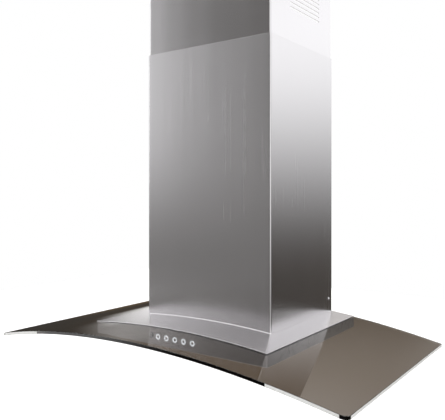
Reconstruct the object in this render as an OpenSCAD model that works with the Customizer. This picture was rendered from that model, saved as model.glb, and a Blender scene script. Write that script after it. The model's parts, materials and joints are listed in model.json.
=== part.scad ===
// Wall-mounted chimney range hood with a curved glass canopy.
// X runs along the wall, -Y points into the room and +Z is up.
// The origin is the centre of the wall bracket's bolt pattern, on the wall plane.
// Every sub-part is drawn with Z = 0 at the crown of the glass, then lowered by crown_z.

/* [Canopy] */
// Width of the glass along the wall
glass_w = 900; // [860:10:1000]
// Depth of the glass at its two sides
glass_side_d = 528; // [500:2:560]
// How far the middle of the front edge bows past the sides
glass_bow = 9.5; // [6:0.5:20]
// Thickness of the glass
glass_t = 6.5; // [6:0.5:8]
// Radius of the arch, at the top face of the glass
arch_r = 2090; // [1900:10:2400]
// Radius of the two front corners of the glass
glass_corner_r = 14; // [8:1:20]

/* [Body] */
// Width of the steel plate and of the tray under the glass
body_w = 474.8; // [460:0.2:500]
// Depth of the steel plate and of the tray
body_d = 414; // [405:1:430]
// How far the tray's flat bottom lies below the crown of the glass
body_drop = 44; // [42:1:50]
// Thickness of the tray's and plate's sheet steel
sheet_t = 1; // [0.8:0.1:1]

/* [Duct covers] */
// Width of the lower duct cover
cover_w = 355.2; // [350:0.1:360]
// Depth of the lower duct cover
cover_d = 299.5; // [295:0.1:305]
// Height of the lower duct cover's top above the crown
cover_h = 636; // [600:2:700]
// Length of the upper duct cover
upper_h = 600; // [560:10:640]
// How much of the upper duct cover shows above the lower one at rest
upper_show = 250; // [240:5:260]
// Number of louvre slots on each side of the upper cover
slot_count = 13; // [6:1:14]

/* [Controls] */
// Radius of a push button
button_r = 6.1; // [5.5:0.1:6.4]
// Distance between button centres
button_pitch = 24; // [22:0.5:26]
// How far the buttons stand proud of the front face
button_proud = 2.5; // [2:0.1:3]

/* [Fan] */
// Outer radius of the impeller
wheel_r = 81; // [78:1:82]
// Number of blades on the impeller
blade_count = 40; // [20:1:44]
// Outer radius of the duct collar
collar_r = 74.5; // [70:0.5:75]

/* [Hidden] */

steel = [0.66, 0.66, 0.66];
zinc = [0.72, 0.74, 0.75];
smoked = [0.36, 0.32, 0.28, 0.6];
rubber_black = [0.06, 0.06, 0.06];
plastic_black = [0.1, 0.1, 0.1];
plastic_grey = [0.55, 0.56, 0.58];
white = [0.93, 0.93, 0.92];
chrome = [0.85, 0.85, 0.86];
board_green = [0.07, 0.35, 0.18];
cap_blue = [0.3, 0.38, 0.5];
lead_grey = [0.35, 0.35, 0.36];

eps = 1;               // overlap used where one shape cuts another
arch_fn = 720;         // facets shown on the arch and other big circles
fn = 64;               // facets shown on small circles

// Heights, from the crown of the glass
crown_z = -170;
top_gasket_t = 0.5;
low_gasket_t = 1;
plate_top = top_gasket_t + sheet_t;
tray_top = -glass_t - low_gasket_t;
tray_bottom = -body_drop;
panel_z = tray_bottom + sheet_t;

half_w = body_w / 2;
tray_lip = 10;
tray_back_lip = 7;

// Duct covers
cover_t = 1;
cover_gap = 1.2;
cover_bend_r = 4.5;
cover_back = 10;
upper_w = cover_w - 2 * (cover_t + cover_gap);
upper_d = cover_d - cover_t - cover_gap;
upper_back_y = -cover_t - cover_gap;
upper_top = cover_h + upper_show;
side_screw_y = -15;
side_screw_z = 27;
slot_front_y = -212;
slot_back_y = -67;
slot_tall = 4.6;
slot_pitch = 10.5;
slot_first_z = cover_h + 75;

// Hanging bracket and blower box
bracket_x = 105;
bracket_z = 70;
bracket_hole_r = 4;
bracket_t = 3;
box_x = 150;
box_front = -272;
box_top = 330;
box_t = 1.2;
box_lip = 14;
flange_x = 163;
flange_front = -283;
notch_x = 165;
notch_d = 285;
plate_notch_x = 152;
plate_notch_d = 274.5;
air_x = 146;
air_front = -268;
air_back = -8;

// Clamps that hold the plate, the glass and the tray together
clamp_x = 205;
clamp_ys = [-45, -370];
box_screw_spots = [[156, -40], [156, -230], [-156, -40], [-156, -230], [80, -278], [-80, -278]];

// Filters
filter_x0 = 4.5;
filter_x1 = 197.5;
filter_back = -10;
filter_front = -266;
filter_low = panel_z;
filter_t = 9;
filter_wall = 1.2;
filter_side = 11;
filter_nose = 27;
hinge_y = -14;
hinge_z = -36;
peg_r = 2;
pull_w = 46;
pull_d = 16;
pull_y = -252;

// Lamps
lamp_x = 130;
lamp_y = -335;
lamp_r = 29.5;
lamp_h = 18;

// Buttons, counted from the left
button_x0 = -40;
button_z = -25;
window_x = -59.6;
window_r = 5;
carrier_x0 = -52;
carrier_x1 = 69;
carrier_z0 = -36;
carrier_z1 = -14;
carrier_d = 11;
carrier_wall = 1.5;
carrier_front = 3.8;
flange_s = 4.1;
board_t = 1.6;

// Fan
fan_y = -122;
fan_z = 130;
scroll_x = 62;
scroll_t = 2;
scroll_r0 = 88;
scroll_r1 = 118;
tongue_a = 77.5;
scroll_step = 7.0625;
inlet_r = 66;
wheel_in_r = 68;
wheel_x = 56;
shaft_r = 4;
motor_r = 40;
motor_x0 = -64;
motor_x1 = 14;

// Outlet collar
collar_y = fan_y - (scroll_r1 + 19) / 2;
collar_t = 1.5;
collar_h = 75;
collar_fn = 192;
flap_z = box_top + 12;
flap_off = 3;

// Electronics on top of the box
elec_x0 = -140;
elec_x1 = 60;
elec_y0 = -100;
elec_y1 = -8;
elec_h = 42;
elec_t = 2;
gland_x = -122;
gland_y = -82;

// Wiring routes, from the crown
control_route = [
    [-20, -396.9, -25], [-20, -386, -24], [-21, -350, -21], [-30, -310, -20], [-70, -284, -20],
    [-122, -268, -18], [-139, -262, -4], [-142, -262, 24], [-142, -262, 80], [-142, -262, 150],
    [-142, -262, 220], [-142, -262, 290], [-142, -254, 312], [-141, -230, 318], [-140, -170, 318],
    [-138, -110, 318], [-132, -74, 319], [-128, -62, 324], [-128, -60, 336], [-125, -60, 345],
    [-116, -60, 348], [-106, -60, 348]
];
motor_route = [
    [-64, -94, 130], [-74, -93, 131], [-88, -86, 146], [-104, -62, 190], [-116, -38, 230],
    [-124, -31, 270], [-126, -30, 310], [-126, -30, 336], [-123, -30, 345], [-116, -30, 348],
    [-106, -30, 348]
];
lamp_route = [
    [130, -335, -25], [130, -336, -22.4], [120, -344, -20], [100, -358, -20], [76, -376, -20],
    [56, -388, -21], [50, -392, -23], [50, -396.9, -24]
];

function arch_z(x) = sqrt(arch_r * arch_r - x * x) - arch_r;

module at_crown() {
    translate([0, 0, crown_z])
        children();
}

// A box between two opposite corners
module slab(a, b) {
    translate(a)
        cube(b - a);
}

// Everything under the arch that lies the given rise above the glass's top face
module under_arch(rise) {
    translate([0, 60, -arch_r])
        rotate([90, 0, 0])
            cylinder(r = arch_r + rise, h = 760, $fn = arch_fn);
}

// A curved sheet between two rises
module arch_sheet(low, high) {
    difference() {
        under_arch(high);
        under_arch(low);
    }
}

// A cylinder along X, Y or Z that starts at a point
module rod_x(p, r, h, sides = fn) {
    translate(p)
        rotate([0, 90, 0])
            cylinder(r = r, h = h, $fn = sides);
}

module rod_y(p, r, h, sides = fn) {
    translate(p)
        rotate([-90, 0, 0])
            cylinder(r = r, h = h, $fn = sides);
}

module rod_z(p, r, h, sides = fn) {
    translate(p)
        cylinder(r = r, h = h, $fn = sides);
}

// Copies on both sides of the centre plane
module both_sides() {
    children();
    mirror([1, 0, 0])
        children();
}

// ---- Tube swept along a smooth curve through a route's points ----

tube_sides = 8;
tube_steps = 3;

function smooth_point(p, i, u) =
    let (
        a = p[max(i - 1, 0)],
        b = p[i],
        c = p[i + 1],
        d = p[min(i + 2, len(p) - 1)]
    )
    0.5 * (2 * b + (c - a) * u + (2 * a - 5 * b + 4 * c - d) * u * u
        + (3 * b - 3 * c + d - a) * u * u * u);

function smooth_route(p) = [
    for (i = [0 : len(p) - 2], k = [0 : tube_steps - 1]) smooth_point(p, i, k / tube_steps),
    p[len(p) - 1]
];

function unit(v) = v / norm(v);

function tangent(q, i) = unit(q[min(i + 1, len(q) - 1)] - q[max(i - 1, 0)]);

function ring(q, i, r) =
    let (
        t = tangent(q, i),
        n = unit(cross(t, [0.6, 0.52, 0.61])),
        b = cross(t, n)
    )
    [for (k = [0 : tube_sides - 1])
        q[i] + r * (cos(360 * k / tube_sides) * n + sin(360 * k / tube_sides) * b)];

module tube(route, r) {
    q = smooth_route(route);
    rings = len(q);
    n = tube_sides;
    points = [for (i = [0 : rings - 1], p = ring(q, i, r)) p];
    walls = [
        for (i = [0 : rings - 2], k = [0 : n - 1], half = [0, 1])
            let (
                a = i * n + k,
                b = i * n + (k + 1) % n
            )
            half == 0 ? [a, b, b + n] : [a, b + n, a + n]
    ];
    first_cap = [[for (k = [0 : n - 1]) n - 1 - k]];
    last_cap = [[for (k = [0 : n - 1]) (rings - 1) * n + k]];
    polyhedron(points = points, faces = concat(walls, first_cap, last_cap));
}

// ---- Duct covers ----

// Plan outline of a cover from its front corners back to back_y, with bent front corners
module cover_plan(w, d, back_y, r) {
    x = w / 2;
    polygon(concat(
        [[-x, back_y]],
        [for (a = [180 : 15 : 270]) [-x + r + r * cos(a), -d + r + r * sin(a)]],
        [for (a = [270 : 15 : 360]) [x - r + r * cos(a), -d + r + r * sin(a)]],
        [[x, back_y]]
    ));
}

// A folded sheet cover: front, two sides and a narrow return flange along each back edge
module cover_sheet(w, d, back_y, z0, z1) {
    translate([0, 0, z0])
        linear_extrude(z1 - z0)
            difference() {
                cover_plan(w, d, back_y, cover_bend_r);
                cover_plan(w - 2 * cover_t, d - cover_t, back_y - cover_t, cover_bend_r - cover_t);
                translate([-w / 2 + cover_back, back_y - 2 * cover_t])
                    square([w - 2 * cover_back, 3 * cover_t]);
            }
}

module lower_duct_cover() {
    foot_gap = 0.3;
    color(steel)
        at_crown()
            difference() {
                cover_sheet(cover_w, cover_d, 0, -20, cover_h);
                under_arch(plate_top + foot_gap);
                both_sides()
                    rod_x([cover_w / 2 - 2, side_screw_y, side_screw_z], 2.2, 4);
            }
}

module upper_duct_cover() {
    color(steel)
        at_crown()
            difference() {
                cover_sheet(upper_w, upper_d, upper_back_y, upper_top - upper_h, upper_top);
                for (i = [0 : slot_count - 1])
                    slab([-cover_w, slot_front_y, slot_first_z + i * slot_pitch],
                        [cover_w, slot_back_y, slot_first_z + i * slot_pitch + slot_tall]);
                both_sides()
                    rod_x([upper_w / 2 - 2, side_screw_y, upper_top - 10], 2.2, 4);
                both_sides()
                    slab([upper_w / 2 - cover_back - 1, upper_back_y - cover_t - eps, upper_top - 19],
                        [upper_w / 2 - cover_t + 0.2, upper_back_y + eps, upper_top + eps]);
            }
}

module ceiling_bracket() {
    x = upper_w / 2 - cover_t - 0.3;
    low = upper_top - 18;
    high = upper_top - 2;
    color(zinc)
        at_crown()
            difference() {
                union() {
                    slab([-x, -1.5, low], [x, 0, high]);
                    both_sides()
                        slab([x - 1.5, -28, low], [x, -0.5, high]);
                }
                both_sides()
                    rod_y([100, -3, upper_top - 10], 3.25, 5);
                both_sides()
                    rod_x([x - 3, side_screw_y, upper_top - 10], 1.7, 5);
            }
}

// Small pan-head screw that points inward from the +X side
module side_screw(x, y, z, length) {
    rod_x([x - length, y, z], 1.6, length + 0.5);
    difference() {
        rod_x([x, y, z], 3, 1.4);
        rod_x([x + 0.7, y, z], 1.2, 2, 6);
    }
}

module upper_cover_screws() {
    color(chrome)
        at_crown()
            both_sides()
                side_screw(upper_w / 2, side_screw_y, upper_top - 10, 8);
}

module lower_cover_screws() {
    color(chrome)
        at_crown()
            both_sides()
                side_screw(cover_w / 2, side_screw_y, side_screw_z, 8);
}

// Z-shaped tabs between the blower box and the lower cover
module cover_tabs() {
    reach = cover_w / 2 - cover_t;
    z0 = side_screw_z - 10;
    z1 = side_screw_z + 10;
    color(zinc)
        at_crown()
            both_sides()
                difference() {
                    union() {
                        slab([box_x, -40, z0], [box_x + 1.2, -5, z1]);
                        slab([box_x, -6.2, z0], [reach, -5, z1]);
                        slab([reach - 1.2, -28, z0], [reach, -5, z1]);
                    }
                    rod_x([reach - 3, side_screw_y, side_screw_z], 1.7, 5);
                }
}

// ---- Canopy ----

module clamp_spots() {
    for (y = clamp_ys)
        both_sides()
            translate([clamp_x, y, arch_z(clamp_x)])
                children();
}

module top_plate() {
    color(steel)
        at_crown()
            difference() {
                intersection() {
                    arch_sheet(top_gasket_t, plate_top);
                    slab([-half_w, -body_d, -100], [half_w, 0, 50]);
                }
                slab([-plate_notch_x, -plate_notch_d, -100], [plate_notch_x, eps, 50]);
            }
}

// Flat ring between the outline of the body and the notch in the glass
module gasket(low, high, hole_r) {
    edge = 5;
    difference() {
        intersection() {
            arch_sheet(low, high);
            slab([-half_w + edge, -body_d + edge, -100], [half_w - edge, -edge, 50]);
        }
        slab([-notch_x - edge, -notch_d - edge, -100], [notch_x + edge, eps, 50]);
        clamp_spots()
            rod_z([0, 0, -40], hole_r, 80);
    }
}

module top_gasket() {
    color(rubber_black)
        at_crown()
            gasket(0, top_gasket_t, 3);
}

module lower_gasket() {
    color(rubber_black)
        at_crown()
            gasket(tray_top, -glass_t, 6.4);
}

// Plan outline of the glass: bowed front edge, round front corners, notch at the back
module glass_plan() {
    r = glass_corner_r;
    bow_r = (pow(glass_w / 2, 2) + pow(glass_bow, 2)) / (2 * glass_bow);
    bow_y = bow_r - glass_side_d - glass_bow;
    corner_x = glass_w / 2 - r;
    corner_y = bow_y - sqrt(pow(bow_r - r, 2) - corner_x * corner_x);
    turn = atan2(corner_x, bow_y - corner_y);
    corner_steps = 10;
    bow_steps = 30;
    right = [for (i = [0 : corner_steps])
        let (a = turn + (90 - turn) * i / corner_steps)
        [corner_x + r * sin(a), corner_y - r * cos(a)]];
    left = [for (i = [0 : corner_steps])
        let (a = 90 - (90 - turn) * i / corner_steps)
        [-corner_x - r * sin(a), corner_y - r * cos(a)]];
    front = [for (i = [1 : bow_steps - 1])
        let (a = -turn + 2 * turn * i / bow_steps)
        [bow_r * sin(a), bow_y - bow_r * cos(a)]];
    notch = [
        [glass_w / 2, 0], [notch_x, 0], [notch_x, -notch_d],
        [-notch_x, -notch_d], [-notch_x, 0], [-glass_w / 2, 0]
    ];
    polygon(concat(left, front, right, notch));
}

module glass_canopy() {
    color(smoked)
        at_crown()
            difference() {
                intersection() {
                    arch_sheet(-glass_t, 0);
                    translate([0, 0, -100])
                        linear_extrude(150)
                            glass_plan();
                }
                clamp_spots()
                    rod_z([0, 0, -40], 6.2, 80);
            }
}

module glass_bushings() {
    color(white)
        at_crown()
            clamp_spots()
                difference() {
                    rod_z([0, 0, -glass_t + 0.7], 5.5, glass_t - 1.4);
                    rod_z([0, 0, -glass_t], 2.9, glass_t + eps);
                }
}

module plate_studs() {
    color(zinc)
        at_crown()
            clamp_spots()
                rod_z([0, 0, tray_top - sheet_t - 6], 2.5, -tray_top + sheet_t + 6.2);
}

module clamp_nuts() {
    color(zinc)
        at_crown()
            clamp_spots()
                difference() {
                    union() {
                        rod_z([0, 0, tray_top - sheet_t - 5], 4.6, 4, 6);
                        rod_z([0, 0, tray_top - sheet_t - 1.6], 5.5, 0.9);
                    }
                    rod_z([0, 0, tray_top - sheet_t - 6], 2.55, 8);
                }
}

// ---- Tray and bottom panel ----

function button_x(i) = button_x0 + i * button_pitch;

module body_tray() {
    t = sheet_t;
    lip = tray_lip;
    color(steel)
        at_crown()
            difference() {
                intersection() {
                    slab([-half_w, -body_d, tray_bottom], [half_w, 0, 20]);
                    under_arch(tray_top);
                }
                intersection() {
                    slab([-half_w + t, -body_d + t, tray_bottom + t], [half_w - t, -t, 20]);
                    under_arch(tray_top - t);
                }
                slab([-half_w + lip, -body_d + lip, tray_bottom - eps],
                    [half_w - lip, -tray_back_lip, tray_bottom + t + eps]);
                slab([-air_x, air_front, -30], [air_x, air_back, eps]);
                clamp_spots()
                    rod_z([0, 0, -30], 2.8, 40);
                for (p = box_screw_spots)
                    rod_z([p[0], p[1], -30], 2.6, 40);
                for (i = [0 : 4])
                    rod_y([button_x(i), -body_d - eps, button_z], button_r + 0.25, 3);
                rod_y([window_x, -body_d - eps, button_z], window_r + 0.1, 3);
            }
}

module bottom_panel() {
    inset = sheet_t + 0.5;
    color(steel)
        at_crown()
            difference() {
                union() {
                    slab([-half_w + inset, -body_d + inset, panel_z],
                        [half_w - inset, -inset, panel_z + 1]);
                    both_sides()
                        slab([filter_x1 + 1.5, hinge_y - 5, panel_z], [205, hinge_y + 5, -31]);
                    slab([-3, hinge_y - 5, panel_z], [3, hinge_y + 5, -31]);
                }
                both_sides()
                    slab([filter_x0 - 1.5, filter_front - 2, panel_z - eps],
                        [filter_x1 + 1.5, -4, -20]);
                rod_x([-210, hinge_y, hinge_z], peg_r + 0.08, 420);
                both_sides()
                    rod_z([lamp_x, lamp_y, panel_z - eps], lamp_r + 0.3, 4);
            }
}

// ---- Grease filters, drawn on the +X side ----

module filter_frame() {
    side = filter_side;
    wall = filter_wall;
    low = filter_low;
    high = filter_low + filter_t;
    mid_x = (filter_x0 + filter_x1) / 2;
    difference() {
        union() {
            slab([filter_x0, filter_front, low], [filter_x1, filter_back, high]);
            rod_x([0.6, hinge_y, hinge_z], peg_r, filter_x0);
            rod_x([filter_x1 - 1, hinge_y, hinge_z], peg_r, 7);
        }
        slab([filter_x0 + side, filter_front + filter_nose, low - eps],
            [filter_x1 - side, filter_back - side, high + eps]);
        slab([filter_x0 + wall, filter_front + 17, low + wall],
            [filter_x1 - wall, filter_back - side + 2, high - wall]);
        slab([mid_x - pull_w / 2, pull_y - pull_d / 2, low - eps],
            [mid_x + pull_w / 2, pull_y + pull_d / 2, high + eps]);
    }
}

// Wavy pack of expanded metal, as one folded sheet
module filter_mesh() {
    pitch = 6.3;
    waves = 30;
    low = filter_low + filter_wall + 0.3;
    high = filter_low + filter_t - filter_wall - 0.3;
    t = 0.9;
    x0 = filter_x0 + 2;
    up = [for (i = [0 : 2 * waves]) [x0 + i * pitch / 2, i % 2 == 0 ? low + t : high]];
    down = [for (i = [0 : 2 * waves])
        let (k = 2 * waves - i)
        [x0 + k * pitch / 2, k % 2 == 0 ? low : high - t]];
    translate([0, filter_back - 10, 0])
        rotate([90, 0, 0])
            linear_extrude(filter_back - 10 - filter_front - 22.5)
                polygon(concat(up, down));
}

// Stamped finger cup with a bar across it
module filter_pull() {
    mid_x = (filter_x0 + filter_x1) / 2;
    low = filter_low;
    gap = 0.2;
    x = pull_w / 2 - gap;
    y = pull_d / 2 - gap;
    translate([mid_x, pull_y, 0]) {
        difference() {
            slab([-x, -y, low], [x, y, low + 7]);
            slab([-x + 1, -y + 1, low - eps], [x - 1, y - 1, low + 6]);
        }
        slab([-x + 0.5, -2, low], [x - 0.5, 2, low + 1.5]);
    }
}

module left_filter_frame() {
    color(zinc)
        at_crown()
            mirror([1, 0, 0])
                filter_frame();
}

module right_filter_frame() {
    color(zinc)
        at_crown()
            filter_frame();
}

module left_filter_mesh() {
    color(zinc)
        at_crown()
            mirror([1, 0, 0])
                filter_mesh();
}

module right_filter_mesh() {
    color(zinc)
        at_crown()
            filter_mesh();
}

module left_filter_pull() {
    color(chrome)
        at_crown()
            mirror([1, 0, 0])
                filter_pull();
}

module right_filter_pull() {
    color(chrome)
        at_crown()
            filter_pull();
}

// Spring plungers whose round noses face the filters' front edges
module filter_catches() {
    nose_gap = 0.6;
    color(chrome)
        at_crown()
            for (x = [45, 157])
                both_sides() {
                    slab([x - 5, -281, panel_z + 1], [x + 5, -270, -33]);
                    rod_y([x, -271, -38], 2, 2.4);
                    translate([x, filter_front - nose_gap - 2, -38])
                        sphere(r = 2, $fn = 32);
                }
}

// ---- Lamps, drawn at their own centre on the panel ----

module lamp_housing() {
    difference() {
        union() {
            rod_z([0, 0, panel_z - 0.8], 34, 0.8);
            rod_z([0, 0, panel_z - 0.4], lamp_r, lamp_h);
        }
        rod_z([0, 0, panel_z - 2], lamp_r - 1.5, lamp_h);
    }
}

module lamp_board() {
    leds = 8;
    rod_z([0, 0, panel_z + 13], 26, 1.6);
    for (i = [0 : leds - 1])
        rotate([0, 0, i * 360 / leds])
            rod_z([16, 0, panel_z + 11.8], 2.4, 1.4);
}

module lamp_lens() {
    rod_z([0, 0, panel_z], lamp_r - 1.7, 2.5);
}

module left_lamp_housing() {
    color(steel)
        at_crown()
            translate([-lamp_x, lamp_y, 0])
                lamp_housing();
}

module right_lamp_housing() {
    color(steel)
        at_crown()
            translate([lamp_x, lamp_y, 0])
                lamp_housing();
}

module left_lamp_board() {
    color(white)
        at_crown()
            translate([-lamp_x, lamp_y, 0])
                lamp_board();
}

module right_lamp_board() {
    color(white)
        at_crown()
            translate([lamp_x, lamp_y, 0])
                lamp_board();
}

module left_lamp_lens() {
    color(white)
        at_crown()
            translate([-lamp_x, lamp_y, 0])
                lamp_lens();
}

module right_lamp_lens() {
    color(white)
        at_crown()
            translate([lamp_x, lamp_y, 0])
                lamp_lens();
}

// ---- Hanging bracket and blower box ----

module wall_bracket() {
    edge = 18;
    color(zinc)
        difference() {
            slab([-bracket_x - edge, -bracket_t, -bracket_z - edge],
                [bracket_x + edge, 0, bracket_z + edge]);
            for (x = [-bracket_x, bracket_x], z = [-bracket_z, bracket_z])
                rod_y([x, -bracket_t - eps, z], bracket_hole_r, bracket_t + 2 * eps);
        }
}

module blower_box() {
    t = box_t;
    back = -bracket_t;
    color(zinc)
        at_crown()
            difference() {
                union() {
                    difference() {
                        slab([-box_x, box_front, -30], [box_x, back, box_top]);
                        slab([-box_x + t, box_front + t, -31], [box_x - t, back - t, box_top - t]);
                        slab([-box_x + box_lip, box_front - eps, -31],
                            [box_x - box_lip, box_front + 2 * t, box_top - box_lip]);
                        under_arch(tray_top);
                    }
                    difference() {
                        intersection() {
                            arch_sheet(tray_top, tray_top + t);
                            slab([-flange_x, flange_front, -60], [flange_x, back, 20]);
                        }
                        slab([-box_x + t, box_front - 1.4, -60], [box_x - t, eps, 20]);
                    }
                }
                slab([-scroll_x + 2, fan_y - scroll_r1, box_top - 5],
                    [scroll_x - 2, fan_y - 19, box_top + 5]);
                rod_z([-128, -60, box_top - 5], 5, 10);
                rod_z([-126, -30, box_top - 5], 5, 10);
                for (p = box_screw_spots)
                    rod_z([p[0], p[1], -40], 2.6, 50);
                for (x = [-bracket_x, bracket_x], z = [-bracket_z, bracket_z])
                    rod_y([x, -8, z - crown_z], bracket_hole_r + 5, 10);
            }
}

module blower_box_cover() {
    color(zinc)
        at_crown()
            difference() {
                slab([-box_x, box_front - box_t, -30], [box_x, box_front, box_top]);
                under_arch(tray_top + 0.3);
            }
}

module box_screws() {
    color(zinc)
        at_crown()
            for (p = box_screw_spots)
                translate([p[0], p[1], arch_z(p[0]) + tray_top]) {
                    rod_z([0, 0, -4], 2.5, 6);
                    rod_z([0, 0, box_t + 0.45], 4, 2.2);
                }
}

// ---- Fan ----

function scroll_r(a) = scroll_r0 + (scroll_r1 - scroll_r0) * (a - tongue_a) / (360 - tongue_a);

// Side view of the volute, grown outward by a wall thickness
module scroll_side(grow) {
    start = grow > 0 ? tongue_a + 3 : tongue_a;
    spiral = [for (a = [start : scroll_step : 360 - scroll_step / 2])
        [fan_y - (scroll_r(a) + grow) * cos(a), fan_z + (scroll_r(a) + grow) * sin(a)]];
    top = box_top - box_t;
    polygon(concat(spiral, [
        [fan_y - scroll_r1 - grow, fan_z],
        [fan_y - scroll_r1 - grow, top],
        [spiral[0][0], top]
    ]));
}

module scroll_half() {
    rotate([90, 0, 90]) {
        linear_extrude(scroll_x)
            difference() {
                scroll_side(scroll_t);
                scroll_side(0);
            }
        translate([0, 0, scroll_x])
            linear_extrude(scroll_t)
                difference() {
                    scroll_side(scroll_t);
                    translate([fan_y, fan_z])
                        circle(r = inlet_r, $fn = fn);
                }
    }
}

module scroll_left() {
    color(plastic_grey)
        at_crown()
            mirror([1, 0, 0])
                scroll_half();
}

module scroll_right() {
    color(plastic_grey)
        at_crown()
            scroll_half();
}

module impeller() {
    disc_x = 24;
    blade_t = 1.2;
    color(plastic_black)
        at_crown()
            translate([0, fan_y, fan_z])
                difference() {
                    union() {
                        for (x = [-wheel_x, wheel_x - 2])
                            difference() {
                                rod_x([x, 0, 0], wheel_r, 2);
                                rod_x([x - eps, 0, 0], wheel_in_r, 2 + 2 * eps);
                            }
                        rod_x([disc_x, 0, 0], wheel_r, 3);
                        rod_x([disc_x - 2, 0, 0], 10, 18);
                        for (i = [0 : blade_count - 1])
                            rotate([i * 360 / blade_count, 0, 0])
                                translate([-wheel_x + 1, wheel_in_r + 0.5, -blade_t / 2])
                                    cube([2 * wheel_x - 2, wheel_r - wheel_in_r - 1, blade_t]);
                    }
                    rod_x([disc_x - 5, 0, 0], shaft_r, 25);
                }
}

module motor_shaft() {
    color(chrome)
        at_crown()
            rod_x([motor_x0 + 3, fan_y, fan_z], shaft_r, 101);
}

module motor_body() {
    color(plastic_grey)
        at_crown()
            translate([0, fan_y, fan_z])
                difference() {
                    union() {
                        rod_x([motor_x0, 0, 0], motor_r, motor_x1 - motor_x0);
                        rod_x([motor_x0 - 2, 0, 0], 16, 4);
                    }
                    rod_x([motor_x0 + 2, 0, 0], 7, motor_x1 - motor_x0);
                    rod_x([motor_x0 + 2, 0, 0], 11, 7);
                    rod_x([motor_x1 - 8, 0, 0], 11, 10);
                }
}

module motor_bearings() {
    color(chrome)
        at_crown()
            translate([0, fan_y, fan_z])
                for (x = [motor_x0 + 2, motor_x1 - 8])
                    difference() {
                        rod_x([x, 0, 0], 11, 7);
                        rod_x([x - eps, 0, 0], shaft_r + 0.05, 9);
                    }
}

module motor_spider() {
    color(zinc)
        at_crown()
            translate([0, fan_y, fan_z]) {
                rod_x([motor_x0 - 6, 0, 0], 18, 4);
                for (a = [0, 120, 240])
                    rotate([a, 0, 0])
                        slab([motor_x0 - 6, -5, 0], [motor_x0 - 3, 5, 82]);
            }
}

module motor_mounts() {
    color(rubber_black)
        at_crown()
            translate([0, fan_y, fan_z])
                for (a = [0, 120, 240])
                    rotate([a, 0, 0])
                        rod_x([motor_x0 - 3, 0, 76], 5, 3);
}

// ---- Outlet collar and its two damper flaps ----

module outlet_collar() {
    ledge_z = flap_z - 2.2;
    ledge_t = 1.6;
    color(plastic_black)
        at_crown()
            translate([0, collar_y, 0])
                difference() {
                    union() {
                        slab([-82, -77, box_top], [82, 77, box_top + 1.5]);
                        rod_z([0, 0, box_top], collar_r, collar_h, collar_fn);
                    }
                    rod_z([0, 0, box_top - eps], collar_r - collar_t - 4,
                        collar_h + 2 * eps, collar_fn);
                    rod_z([0, 0, box_top - eps], collar_r - collar_t,
                        ledge_z - box_top + eps, collar_fn);
                    rod_z([0, 0, ledge_z + ledge_t], collar_r - collar_t, collar_h, collar_fn);
                    slab([-collar_r + collar_t, -8, ledge_z - eps],
                        [collar_r - collar_t, 8, ledge_z + 3]);
                    for (y = [-flap_off, flap_off])
                        rod_x([-100, y, flap_z], 1.58, 200);
                }
}

// Half-disc flap for the -Y side, with its hinge barrel and pins
module flap() {
    plate_r = collar_r - collar_t - 1;
    barrel_x = 69.5;
    difference() {
        rod_z([0, 0, flap_z - 0.5], plate_r, 1);
        slab([-100, -flap_off, flap_z - 5], [100, 100, flap_z + 5]);
    }
    rod_x([-barrel_x, -flap_off, flap_z], 2, 2 * barrel_x);
    rod_x([-collar_r, -flap_off, flap_z], 1.5, 2 * collar_r);
}

module front_flap() {
    color(plastic_grey)
        at_crown()
            translate([0, collar_y, 0])
                flap();
}

module rear_flap() {
    color(plastic_grey)
        at_crown()
            translate([0, collar_y, 0])
                mirror([0, 1, 0])
                    flap();
}

// ---- Electronics ----

module electronics_box() {
    t = elec_t;
    color(plastic_grey)
        at_crown()
            difference() {
                slab([elec_x0, elec_y0, box_top], [elec_x1, elec_y1, box_top + elec_h]);
                slab([elec_x0 + t, elec_y0 + t, box_top + t],
                    [elec_x1 - t, elec_y1 - t, box_top + elec_h + eps]);
                rod_z([-128, -60, box_top - eps], 5, 10);
                rod_z([-126, -30, box_top - eps], 5, 10);
            }
}

module electronics_lid() {
    t = elec_t;
    z = box_top + elec_h;
    color(plastic_grey)
        at_crown()
            difference() {
                union() {
                    slab([elec_x0, elec_y0, z], [elec_x1, elec_y1, z + t]);
                    slab([elec_x0 + t + 0.3, elec_y0 + t + 0.3, z - 3],
                        [elec_x1 - t - 0.3, elec_y1 - t - 0.3, z + 0.5]);
                }
                slab([elec_x0 + 2 * t, elec_y0 + 2 * t, z - 4],
                    [elec_x1 - 2 * t, elec_y1 - 2 * t, z]);
                rod_z([gland_x, gland_y, z - eps], 8, 5);
            }
}

module control_board() {
    z = box_top + 6;
    color(board_green)
        at_crown() {
            slab([-106, -90, z], [52, -18, z + board_t]);
            for (y = [-60, -30])
                slab([-106, y - 6, z], [-96, y + 6, z + 17]);
            for (x = [-84, -62, -40])
                slab([x, -40, z], [x + 16, -22, z + 15]);
            slab([10, -84, z], [46, -50, z + 26]);
            slab([-84, -84, z], [-50, -60, z + 6]);
            for (x = [-98, 44], y = [-86, -22])
                rod_z([x, y, box_top + elec_t], 3, 5);
        }
}

module run_capacitor() {
    color(cap_blue)
        at_crown() {
            rod_x([-30, -64, box_top + 22], 12, 34);
            rod_x([-33, -64, box_top + 22], 9, 4);
            slab([-28, -70, box_top + 7.6], [2, -58, box_top + 14]);
        }
}

module terminal_block() {
    z = box_top + elec_t;
    color(white)
        at_crown()
            difference() {
                slab([-134, -94, z], [-112, -70, z + 12]);
                for (y = [-90, -82, -74])
                    rod_z([-118, y, z + 5], 2, 10);
            }
}

// Screw-in gland for the supply cable, in the lid over the terminal block
module cable_gland() {
    color(plastic_black)
        at_crown()
            translate([gland_x, gland_y, box_top + elec_h])
                difference() {
                    union() {
                        rod_z([0, 0, elec_t], 12, 6, 6);
                        rod_z([0, 0, elec_t + 5], 9.5, 9);
                        rod_z([0, 0, -6], 7.9, 10);
                        rod_z([0, 0, -4], 11, 4, 6);
                    }
                    rod_z([0, 0, -7], 4.5, 26);
                }
}

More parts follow.
